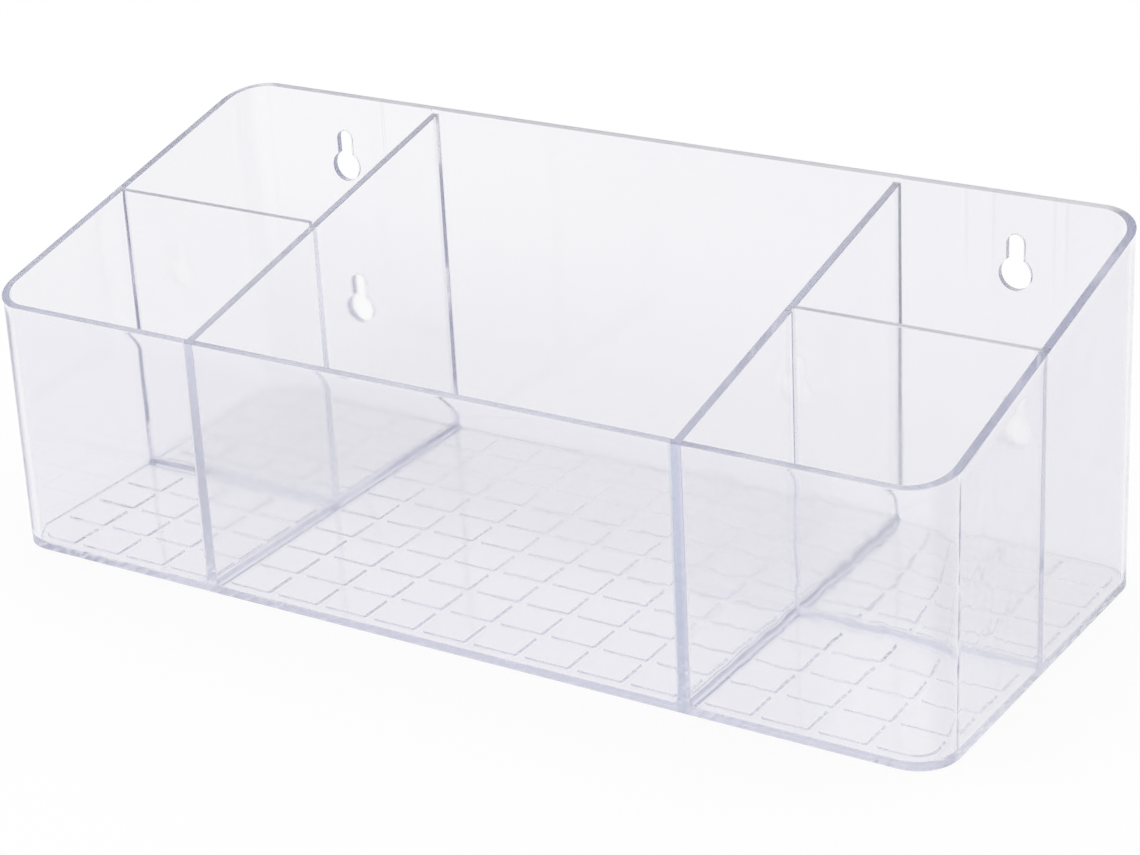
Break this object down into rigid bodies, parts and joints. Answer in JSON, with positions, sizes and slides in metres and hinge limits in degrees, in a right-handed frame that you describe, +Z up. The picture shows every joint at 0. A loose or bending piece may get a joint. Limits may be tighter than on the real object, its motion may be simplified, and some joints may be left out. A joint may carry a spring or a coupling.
{
  "type": "wall shelf",
  "caption": "Clear moulded wall shelf: an open organiser tray with a low front, a tall keyholed back, dividers and cross partitions, and a padded floor.",
  "frame": {"origin": "middle of the flat base, on the surface the shelf can stand on", "axes": "+X along the width to the right as seen from the front, +Y towards the wall, +Z up; the low front wall faces -Y"},
  "size_m": [0.3, 0.1262, 0.106],
  "materials": {
    "tray_shell": "clear, polished, with a faint violet tint",
    "left_divider": "clear, polished, with a faint violet tint",
    "right_divider": "clear, polished, with a faint violet tint",
    "left_cross_partition": "clear, polished, with a faint violet tint",
    "right_cross_partition": "clear, polished, with a faint violet tint"
  },
  "bodies": {
    "root": {"tray_shell": "tray_shell", "left_divider": "left_divider", "right_divider": "right_divider", "left_cross_partition": "left_cross_partition", "right_cross_partition": "right_cross_partition"}
  },
  "joints": []
}
